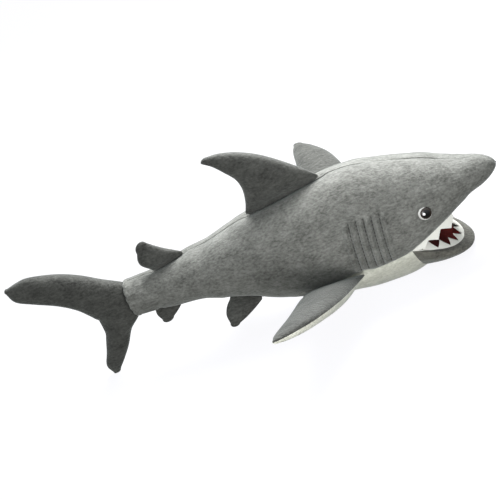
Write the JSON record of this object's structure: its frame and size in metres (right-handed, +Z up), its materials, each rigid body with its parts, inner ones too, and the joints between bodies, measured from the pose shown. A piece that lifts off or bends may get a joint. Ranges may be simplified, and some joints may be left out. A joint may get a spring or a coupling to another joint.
{
  "type": "plush shark",
  "caption": "Long stuffed shark of sewn plush panels, with an open toothed mouth, flexible fins, button eyes and a crescent tail set in a hemmed cuff.",
  "frame": {"origin": "below the middle of the whole shark's length and span, on the surface that it lies on", "axes": "+X towards the nose, +Y towards the shark's left side, +Z up"},
  "size_m": [0.5855, 0.4156, 0.2224],
  "materials": {
    "grey_plush": "short-pile plush, brushed towards the tail",
    "cream_plush": "short-pile plush",
    "white_felt": "smooth felt",
    "red_felt": "smooth felt",
    "filling": "loose polyester fibre, packed",
    "dark_thread": "twisted thread",
    "eye_plastic": "polished",
    "washer_plastic": "moulded"
  },
  "bodies": {
    "trunk": {"belly_panel": "cream_plush", "eye_left": "eye_plastic", "eye_right": "eye_plastic", "eye_washer_left": "washer_plastic", "eye_washer_right": "washer_plastic", "gill_tuck_left_1": "dark_thread", "gill_tuck_left_2": "dark_thread", "gill_tuck_left_3": "dark_thread", "gill_tuck_left_4": "dark_thread", "gill_tuck_left_5": "dark_thread", "gill_tuck_right_1": "dark_thread", "gill_tuck_right_2": "dark_thread", "gill_tuck_right_3": "dark_thread", "gill_tuck_right_4": "dark_thread", "gill_tuck_right_5": "dark_thread", "palate_lining": "red_felt", "side_panel_left": "grey_plush", "side_panel_right": "grey_plush", "trunk_filling": "filling", "upper_teeth_left": "white_felt", "upper_teeth_right": "white_felt"},
    "jaw": {"jaw_panel": "grey_plush", "jaw_filling": "filling", "jaw_lining": "red_felt", "lower_teeth": "white_felt"},
    "dorsal_fin": {"dorsal_fin_filling": "filling", "dorsal_fin_panel_left": "grey_plush", "dorsal_fin_panel_right": "grey_plush"},
    "second_dorsal_fin": {"second_dorsal_filling": "filling", "second_dorsal_panel_left": "grey_plush", "second_dorsal_panel_right": "grey_plush"},
    "anal_fin": {"anal_fin_filling": "filling", "anal_fin_panel_left": "grey_plush", "anal_fin_panel_right": "grey_plush"},
    "pectoral_fin_right": {"pectoral_right_filling": "filling", "pectoral_right_panel_top": "grey_plush", "pectoral_right_panel_under": "cream_plush"},
    "pectoral_fin_left": {"pectoral_left_filling": "filling", "pectoral_left_panel_top": "grey_plush", "pectoral_left_panel_under": "cream_plush"},
    "pelvic_fin_right": {"pelvic_right_filling": "filling", "pelvic_right_panel_inner": "grey_plush", "pelvic_right_panel_outer": "grey_plush"},
    "pelvic_fin_left": {"pelvic_left_filling": "filling", "pelvic_left_panel_inner": "grey_plush", "pelvic_left_panel_outer": "grey_plush"},
    "tail_fin": {"caudal_fin_filling": "filling", "caudal_fin_panel_left": "grey_plush", "caudal_fin_panel_right": "grey_plush"}
  },
  "joints": [
    {"name": "jaw_opening", "type": "hinge", "parent": "trunk", "child": "jaw", "pos_m": [0.17197, 0, 0.04233], "axis": [0, 1, 0], "range_deg": [-12, 3], "stiffness_Nm_per_rad": 1.5},
    {"name": "dorsal_fin_flop", "type": "hinge", "parent": "trunk", "child": "dorsal_fin", "pos_m": [0.05407, 0, 0.14394], "axis": [-0.9888, 0, -0.1493], "range_deg": [-25, 25], "stiffness_Nm_per_rad": 0.5},
    {"name": "second_dorsal_flop", "type": "hinge", "parent": "trunk", "child": "second_dorsal_fin", "pos_m": [-0.10402, 0, 0.11543], "axis": [-0.9819, 0, -0.1895], "range_deg": [-25, 25], "stiffness_Nm_per_rad": 0.12},
    {"name": "anal_fin_flop", "type": "hinge", "parent": "trunk", "child": "anal_fin", "pos_m": [-0.12884, 0, 0.05706], "axis": [-0.9956, 0, 0.0933], "range_deg": [-25, 25], "stiffness_Nm_per_rad": 0.06},
    {"name": "pectoral_right_flap", "type": "hinge", "parent": "trunk", "child": "pectoral_fin_right", "pos_m": [0.07261, -0.05149, 0.03778], "axis": [-0.9893, 0.1385, -0.046], "range_deg": [-25, 5], "stiffness_Nm_per_rad": 1.2},
    {"name": "pectoral_left_flap", "type": "hinge", "parent": "trunk", "child": "pectoral_fin_left", "pos_m": [0.07261, 0.05149, 0.03778], "axis": [0.9893, 0.1385, 0.046], "range_deg": [-25, 5], "stiffness_Nm_per_rad": 1.2},
    {"name": "pelvic_right_flap", "type": "hinge", "parent": "trunk", "child": "pelvic_fin_right", "pos_m": [-0.03361, -0.02852, 0.04785], "axis": [-0.9424, 0.1256, 0.3099], "range_deg": [-25, 25], "stiffness_Nm_per_rad": 0.12},
    {"name": "pelvic_left_flap", "type": "hinge", "parent": "trunk", "child": "pelvic_fin_left", "pos_m": [-0.03361, 0.02852, 0.04785], "axis": [0.9424, 0.1256, -0.3099], "range_deg": [-25, 25], "stiffness_Nm_per_rad": 0.12},
    {"name": "tail_sway", "type": "hinge", "parent": "trunk", "child": "tail_fin", "pos_m": [-0.1525, 0, 0.08456], "axis": [0, 0, 1], "range_deg": [-16, 16], "stiffness_Nm_per_rad": 1}
  ]
}
